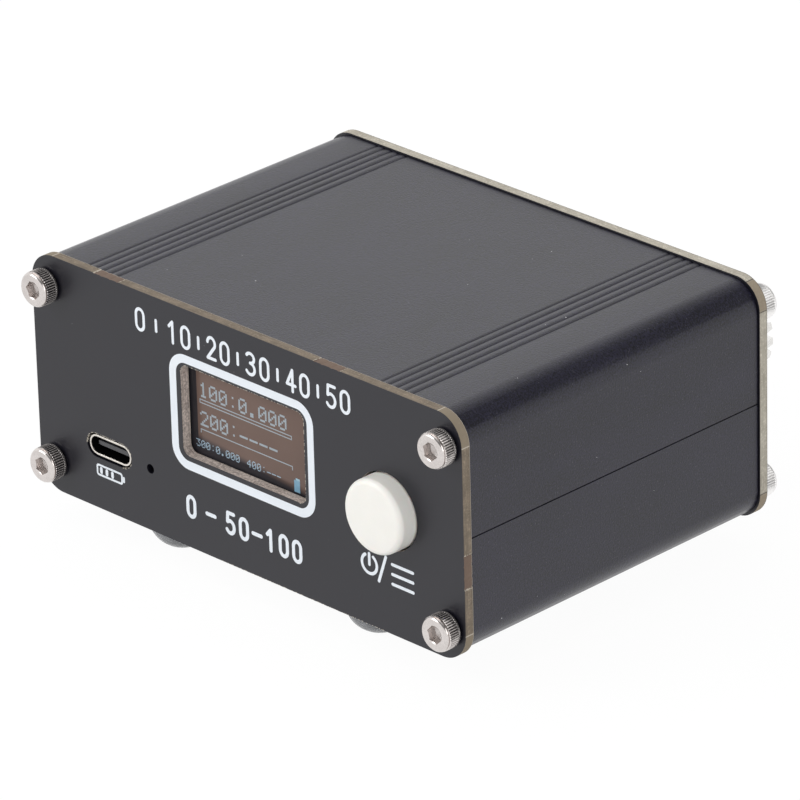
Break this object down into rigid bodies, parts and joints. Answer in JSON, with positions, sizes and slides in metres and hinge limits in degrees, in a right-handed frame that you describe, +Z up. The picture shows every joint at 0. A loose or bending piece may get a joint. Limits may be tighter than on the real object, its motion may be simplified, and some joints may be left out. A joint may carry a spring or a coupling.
{
  "type": "swr meter",
  "caption": "Bench-top power and SWR meter in a split extruded case, with a small display, a push button, a charging port and coaxial sockets at the rear.",
  "frame": {"origin": "on the bench, under the middle of the overall width and depth, level with the flat undersides of the feet", "axes": "+X along the front panel to the right as seen from the front, +Y from the front panel to the rear, +Z up"},
  "size_m": [0.088, 0.0828, 0.0426],
  "materials": {
    "black_anodised": "bead-blasted, black anodised",
    "black_panel": "circuit-board laminate with a matte black coat and bare tan edges",
    "plated_steel": "nickel plated",
    "port_steel": "bright tinned",
    "grey_rubber": "clear grey, soft",
    "white_button": "satin white",
    "display_glass": "polished",
    "green_board": "circuit-board laminate",
    "gold_brass": "gold plated",
    "white_insulator": "satin",
    "ferrite": "matt grey",
    "copper_wire": "enamelled copper",
    "silver_pouch": "foil pouch",
    "white_plastic": "satin",
    "red_lead": "insulated wire",
    "black_plastic": "moulded"
  },
  "bodies": {
    "case": {"antenna_contact": "gold_brass", "antenna_insulator": "white_insulator", "antenna_nut": "plated_steel", "antenna_socket": "plated_steel", "antenna_washer": "plated_steel", "battery_cell": "silver_pouch", "battery_lead_black": "black_plastic", "battery_lead_red": "red_lead", "battery_plug": "white_plastic", "bottom_shell": "black_anodised", "charge_light": "white_plastic", "charger_chip": "black_plastic", "control_board": "green_board", "control_header": "black_plastic", "coupler_board": "green_board", "coupler_header": "black_plastic", "current_core": "ferrite", "current_winding": "copper_wire", "display_board": "green_board", "display_glass": "display_glass", "display_header": "black_plastic", "foot_front_left": "grey_rubber", "foot_front_right": "grey_rubber", "foot_rear_left": "grey_rubber", "foot_rear_right": "grey_rubber", "front_panel": "black_panel", "front_screw_bottom_left": "plated_steel", "front_screw_bottom_right": "plated_steel", "front_screw_top_left": "plated_steel", "front_screw_top_right": "plated_steel", "input_contact": "gold_brass", "input_insulator": "white_insulator", "input_nut": "plated_steel", "input_socket": "plated_steel", "input_washer": "plated_steel", "main_board": "green_board", "microcontroller": "black_plastic", "rear_panel": "black_panel", "rear_screw_bottom_left": "plated_steel", "rear_screw_bottom_right": "plated_steel", "rear_screw_top_left": "plated_steel", "rear_screw_top_right": "plated_steel", "balance_trimmer": "white_plastic", "switch_body": "black_plastic", "through_line": "white_insulator", "top_shell": "black_anodised", "usb_shell": "port_steel", "usb_tongue": "black_plastic", "forward_diode": "red_lead", "voltage_regulator": "black_plastic", "reflected_diode": "red_lead"},
    "button": {"button_cap": "white_button", "switch_plunger": "black_plastic"}
  },
  "joints": [
    {"name": "button_press", "type": "slide", "parent": "case", "child": "button", "axis": [0, 1, 0], "range_m": [0, 0.00035], "stiffness_N_per_m": 1500}
  ]
}
